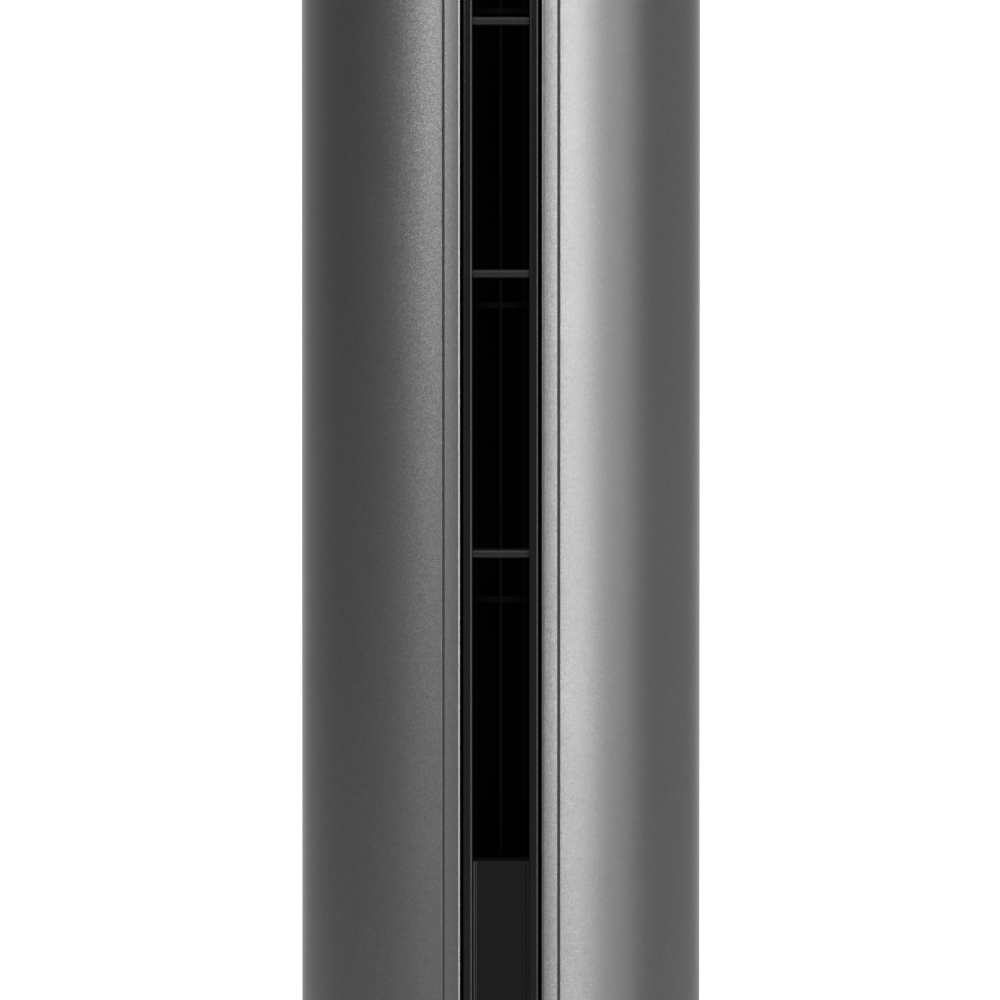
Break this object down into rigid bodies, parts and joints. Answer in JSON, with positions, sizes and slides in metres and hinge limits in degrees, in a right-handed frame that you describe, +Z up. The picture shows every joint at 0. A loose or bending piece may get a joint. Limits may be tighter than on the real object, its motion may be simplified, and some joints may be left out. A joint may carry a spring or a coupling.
{
  "type": "tower fan",
  "caption": "Slim cylindrical tower fan with a narrow ribbed air slot, a swinging column on a round weighted base, a cross-flow wheel inside and push keys on top.",
  "frame": {"origin": "centre of the round base, on the floor", "axes": "+Z up along the column, -Y out of the air slot, +X to the right when facing the slot from the front"},
  "size_m": [0.28, 0.28, 0.985],
  "materials": {
    "metallic_grey": "satin metallic paint over moulded plastic, fine flake",
    "trim_grey": "satin metallic paint, same tone as the shells",
    "frame_black": "fine satin moulding",
    "duct_black": "matt black moulding",
    "base_grey": "satin metallic paint over moulded plastic",
    "deck_gloss": "polished black",
    "key_satin": "satin black keys",
    "window_smoke": "smoked polished window",
    "rubber_black": "matt rubber",
    "steel_zinc": "zinc plated screws",
    "steel_shaft": "ground steel",
    "cast_weight": "sand cast, black primer",
    "motor_zinc": "galvanised deep-drawn can",
    "lamination": "stacked electrical steel",
    "copper_wire": "enamelled copper wire",
    "ferrite": "sintered ferrite",
    "board_green": "solder mask on glass laminate",
    "gear_white": "natural acetal",
    "structure_black": "moulded structural plastic"
  },
  "bodies": {
    "base": {"rubber_feet": "rubber_black", "base_cover": "structure_black", "base_cover_screws": "steel_zinc", "base_shell": "base_grey", "base_weight": "cast_weight", "inner_base_screws": "steel_zinc", "power_socket": "duct_black", "swivel_post": "structure_black", "glide_ring": "gear_white", "swing_gear": "gear_white", "swing_gear_screws": "steel_zinc"},
    "column": {"swing_motor": "motor_zinc", "short_screws": "steel_zinc", "tower_floor": "structure_black", "board_bracket": "motor_zinc", "driver_board": "board_green", "motor_can": "motor_zinc", "motor_end_bell": "motor_zinc", "motor_bearings": "steel_shaft", "motor_stator": "lamination", "stator_coils": "copper_wire", "motor_bushes": "rubber_black", "motor_screws": "steel_zinc", "motor_plate": "structure_black", "top_bearing": "steel_shaft", "bearing_cup": "rubber_black", "bearing_plate": "structure_black", "bulkhead_screws": "steel_zinc", "scroll_wall": "duct_black", "tongue_wall": "duct_black", "outlet_grille": "duct_black", "outlet_frame": "frame_black", "lower_panel": "frame_black", "upper_panel": "frame_black", "remote_window": "window_smoke", "left_trim_strip": "trim_grey", "right_trim_strip": "trim_grey", "left_shell": "metallic_grey", "right_shell": "metallic_grey", "intake_grille": "metallic_grey", "rear_cover": "metallic_grey", "rear_cover_screws": "steel_zinc", "handle_scoop": "frame_black", "top_cap": "metallic_grey", "control_deck": "deck_gloss", "display_window": "window_smoke", "control_board": "board_green", "control_board_screws": "steel_zinc", "key_switches": "duct_black"},
    "pinion": {"swing_pinion": "gear_white"},
    "wheel": {"impeller": "duct_black", "drive_hub": "rubber_black", "top_pin": "steel_shaft", "motor_shaft": "steel_shaft", "motor_rotor": "ferrite"},
    "power_key": {"power_key": "key_satin"},
    "speed_key": {"speed_key": "key_satin"},
    "mode_key": {"mode_key": "key_satin"},
    "timer_key": {"timer_key": "key_satin"},
    "swing_key": {"swing_key": "key_satin"}
  },
  "joints": [
    {"name": "column_swing", "type": "hinge", "parent": "base", "child": "column", "pos_m": [0, 0, 0.0285], "axis": [0, 0, 1], "range_deg": [-35, 35]},
    {"name": "pinion_turn", "type": "hinge", "parent": "column", "child": "pinion", "pos_m": [0, 0.0408, 0.045], "axis": [0, 0, 1], "range_deg": [-98, 98]},
    {"name": "wheel_spin", "type": "hinge", "parent": "column", "child": "wheel", "pos_m": [0, 0.008, 0.5], "axis": [0, 0, 1], "continuous": true},
    {"name": "power_key_press", "type": "slide", "parent": "column", "child": "power_key", "axis": [0, 0, -1], "range_m": [0, 0.001], "stiffness_N_per_m": 600, "springref_m": -0.0015},
    {"name": "speed_key_press", "type": "slide", "parent": "column", "child": "speed_key", "axis": [0, 0, -1], "range_m": [0, 0.001], "stiffness_N_per_m": 600, "springref_m": -0.0015},
    {"name": "mode_key_press", "type": "slide", "parent": "column", "child": "mode_key", "axis": [0, 0, -1], "range_m": [0, 0.001], "stiffness_N_per_m": 600, "springref_m": -0.0015},
    {"name": "timer_key_press", "type": "slide", "parent": "column", "child": "timer_key", "axis": [0, 0, -1], "range_m": [0, 0.001], "stiffness_N_per_m": 600, "springref_m": -0.0015},
    {"name": "swing_key_press", "type": "slide", "parent": "column", "child": "swing_key", "axis": [0, 0, -1], "range_m": [0, 0.001], "stiffness_N_per_m": 600, "springref_m": -0.0015}
  ],
  "couplings": [
    {"joint": "pinion_turn", "follows": "column_swing", "ratio": 2.7778}
  ]
}
